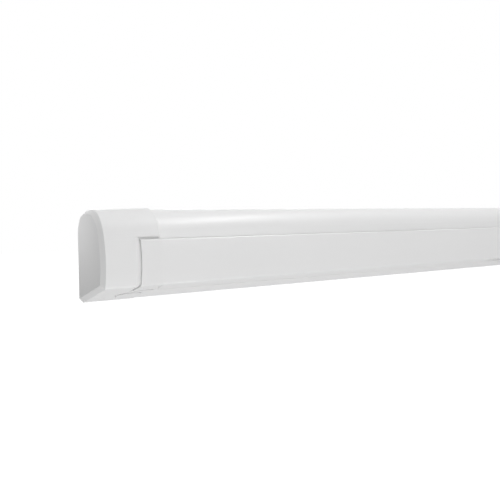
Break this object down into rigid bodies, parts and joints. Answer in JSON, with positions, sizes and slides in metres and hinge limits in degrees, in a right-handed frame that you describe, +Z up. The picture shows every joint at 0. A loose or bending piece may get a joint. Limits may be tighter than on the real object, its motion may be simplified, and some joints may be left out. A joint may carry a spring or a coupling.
{
  "type": "roll out awning",
  "caption": "Wall-hung cassette awning with a D-shaped housing, roller fabric, folding spring arms, a lead rail with swing-down telescopic legs and a crank eye.",
  "frame": {"origin": "centre of the middle wall bracket bolt pattern, on the wall face", "axes": "+X along the awning to the winch end, +Y into the wall, +Z up"},
  "size_m": [2.6, 0.098, 0.1485],
  "materials": {
    "white_extrusion": "satin",
    "white_plastic": "satin",
    "steel": "satin",
    "cast_aluminium": "satin",
    "seal_rubber": "matte",
    "dark_plastic": "matte",
    "canvas": "matte",
    "brass": "satin"
  },
  "bodies": {
    "cassette": {"housing": "white_extrusion", "end_cap_left": "white_plastic", "end_cap_right": "white_plastic", "bearing_block": "white_plastic", "winch_case": "white_plastic", "frame_screws": "steel", "cover_disc": "white_plastic", "winch_bezel": "white_plastic", "wall_brackets": "white_extrusion", "bracket_lock_screws": "steel", "shoulder_bracket_left": "cast_aluminium", "shoulder_bracket_right": "cast_aluminium", "shoulder_pins": "steel", "lip_seal": "seal_rubber", "roller_bushes": "dark_plastic"},
    "roller": {"roller_tube": "cast_aluminium", "roller_plug_left": "dark_plastic", "roller_plug_right": "dark_plastic", "fabric_roll": "canvas", "worm_wheel": "brass"},
    "winch": {"worm_shaft": "steel", "crank_eye": "steel"},
    "canopy": {"fabric_sheet": "canvas"},
    "lead_rail": {"lead_rail": "white_extrusion", "lead_rail_cap_left": "white_plastic", "lead_rail_cap_right": "white_plastic", "front_bracket_left": "cast_aluminium", "front_bracket_right": "cast_aluminium", "front_pins": "steel", "leg_hinge_pins": "steel", "front_keder": "canvas"},
    "upper_arm_left": {"upper_arm_left": "white_extrusion", "shoulder_knuckle_left": "cast_aluminium", "elbow_fork_left": "cast_aluminium", "arm_spring_left": "steel", "elbow_pin_left": "steel"},
    "forearm_left": {"forearm_left": "white_extrusion", "elbow_tongue_left": "cast_aluminium", "front_knuckle_left": "cast_aluminium"},
    "leg_left": {"leg_outer_left": "white_extrusion"},
    "leg_middle_left": {"leg_middle_left": "white_extrusion"},
    "leg_inner_left": {"leg_inner_left": "white_extrusion"},
    "foot_left": {"leg_foot_left": "dark_plastic"},
    "outer_lever_left": {"outer_lever_left": "white_plastic"},
    "middle_lever_left": {"middle_lever_left": "white_plastic"},
    "upper_arm_right": {"upper_arm_right": "white_extrusion", "shoulder_knuckle_right": "cast_aluminium", "elbow_fork_right": "cast_aluminium", "arm_spring_right": "steel", "elbow_pin_right": "steel"},
    "forearm_right": {"forearm_right": "white_extrusion", "elbow_tongue_right": "cast_aluminium", "front_knuckle_right": "cast_aluminium"},
    "leg_right": {"leg_outer_right": "white_extrusion"},
    "leg_middle_right": {"leg_middle_right": "white_extrusion"},
    "leg_inner_right": {"leg_inner_right": "white_extrusion"},
    "foot_right": {"leg_foot_right": "dark_plastic"},
    "outer_lever_right": {"outer_lever_right": "white_plastic"},
    "middle_lever_right": {"middle_lever_right": "white_plastic"}
  },
  "joints": [
    {"name": "shoulder_left", "type": "hinge", "parent": "cassette", "child": "upper_arm_left", "pos_m": [-1.185, -0.0245, -0.01211], "axis": [0, 0.1392, -0.9903], "range_deg": [0, 74]},
    {"name": "elbow_left", "type": "hinge", "parent": "upper_arm_left", "child": "forearm_left", "pos_m": [-0.18508, -0.03737, -0.01392], "axis": [0, 0.1392, -0.9903], "range_deg": [-148, 0]},
    {"name": "front_left", "type": "hinge", "parent": "forearm_left", "child": "lead_rail", "pos_m": [-1.185, -0.05025, -0.01573], "axis": [0, 0.1392, -0.9903], "range_deg": [0, 74]},
    {"name": "shoulder_right", "type": "hinge", "parent": "cassette", "child": "upper_arm_right", "pos_m": [1.185, -0.0245, -0.01211], "axis": [0, 0.1392, -0.9903], "range_deg": [-74, 0]},
    {"name": "elbow_right", "type": "hinge", "parent": "upper_arm_right", "child": "forearm_right", "pos_m": [0.18508, -0.03737, -0.01392], "axis": [0, 0.1392, -0.9903], "range_deg": [0, 148]},
    {"name": "roller_spin", "type": "hinge", "parent": "cassette", "child": "roller", "pos_m": [0, -0.046, 0.0432], "axis": [-1, 0, 0], "range_deg": [0, 4858.69]},
    {"name": "crank_spin", "type": "hinge", "parent": "cassette", "child": "winch", "pos_m": [1.243, -0.02656, 0.04066], "axis": [0, 0.1293, 0.9916], "range_deg": [0, 68021.65]},
    {"name": "canopy_slide", "type": "slide", "parent": "cassette", "child": "canopy", "axis": [0, -0.9903, -0.1392], "range_m": [0, 1.90353], "deforming": ["fabric_sheet"]},
    {"name": "leg_swing_left", "type": "hinge", "parent": "lead_rail", "child": "leg_left", "pos_m": [-1.1955, -0.07804, -0.019], "axis": [0, 1, 0], "range_deg": [0, 90]},
    {"name": "leg_middle_slide_left", "type": "slide", "parent": "leg_left", "child": "leg_middle_left", "axis": [1, 0, 0], "range_m": [0, 0.6]},
    {"name": "leg_inner_slide_left", "type": "slide", "parent": "leg_middle_left", "child": "leg_inner_left", "axis": [1, 0, 0], "range_m": [0, 0.6]},
    {"name": "foot_tilt_left", "type": "hinge", "parent": "leg_inner_left", "child": "foot_left", "pos_m": [-0.4065, -0.07804, -0.013], "axis": [0, 1, 0], "range_deg": [0, 60]},
    {"name": "outer_lever_left", "type": "hinge", "parent": "leg_left", "child": "outer_lever_left", "pos_m": [-0.5105, -0.07804, -0.0272], "axis": [0, 1, 0], "range_deg": [0, 90]},
    {"name": "middle_lever_left", "type": "hinge", "parent": "leg_middle_left", "child": "middle_lever_left", "pos_m": [-0.4615, -0.07804, -0.0272], "axis": [0, 1, 0], "range_deg": [0, 90]},
    {"name": "leg_swing_right", "type": "hinge", "parent": "lead_rail", "child": "leg_right", "pos_m": [1.1955, -0.07804, -0.019], "axis": [0, -1, 0], "range_deg": [0, 90]},
    {"name": "leg_middle_slide_right", "type": "slide", "parent": "leg_right", "child": "leg_middle_right", "axis": [-1, 0, 0], "range_m": [0, 0.6]},
    {"name": "leg_inner_slide_right", "type": "slide", "parent": "leg_middle_right", "child": "leg_inner_right", "axis": [-1, 0, 0], "range_m": [0, 0.6]},
    {"name": "foot_tilt_right", "type": "hinge", "parent": "leg_inner_right", "child": "foot_right", "pos_m": [0.4065, -0.07804, -0.013], "axis": [0, -1, 0], "range_deg": [0, 60]},
    {"name": "outer_lever_right", "type": "hinge", "parent": "leg_right", "child": "outer_lever_right", "pos_m": [0.5105, -0.07804, -0.0272], "axis": [0, -1, 0], "range_deg": [0, 90]},
    {"name": "middle_lever_right", "type": "hinge", "parent": "leg_middle_right", "child": "middle_lever_right", "pos_m": [0.4615, -0.07804, -0.0272], "axis": [0, -1, 0], "range_deg": [0, 90]}
  ],
  "couplings": [
    {"joint": "elbow_left", "follows": "shoulder_left", "ratio": -2},
    {"joint": "front_left", "follows": "shoulder_left", "ratio": 1},
    {"joint": "shoulder_right", "follows": "shoulder_left", "ratio": -1},
    {"joint": "elbow_right", "follows": "shoulder_left", "ratio": 2},
    {"joint": "roller_spin", "follows": "shoulder_left", "ratio": 65.658},
    {"joint": "crank_spin", "follows": "shoulder_left", "ratio": 919.21},
    {"joint": "canopy_slide", "follows": "shoulder_left", "m_per_rad": 1.4738}
  ]
}
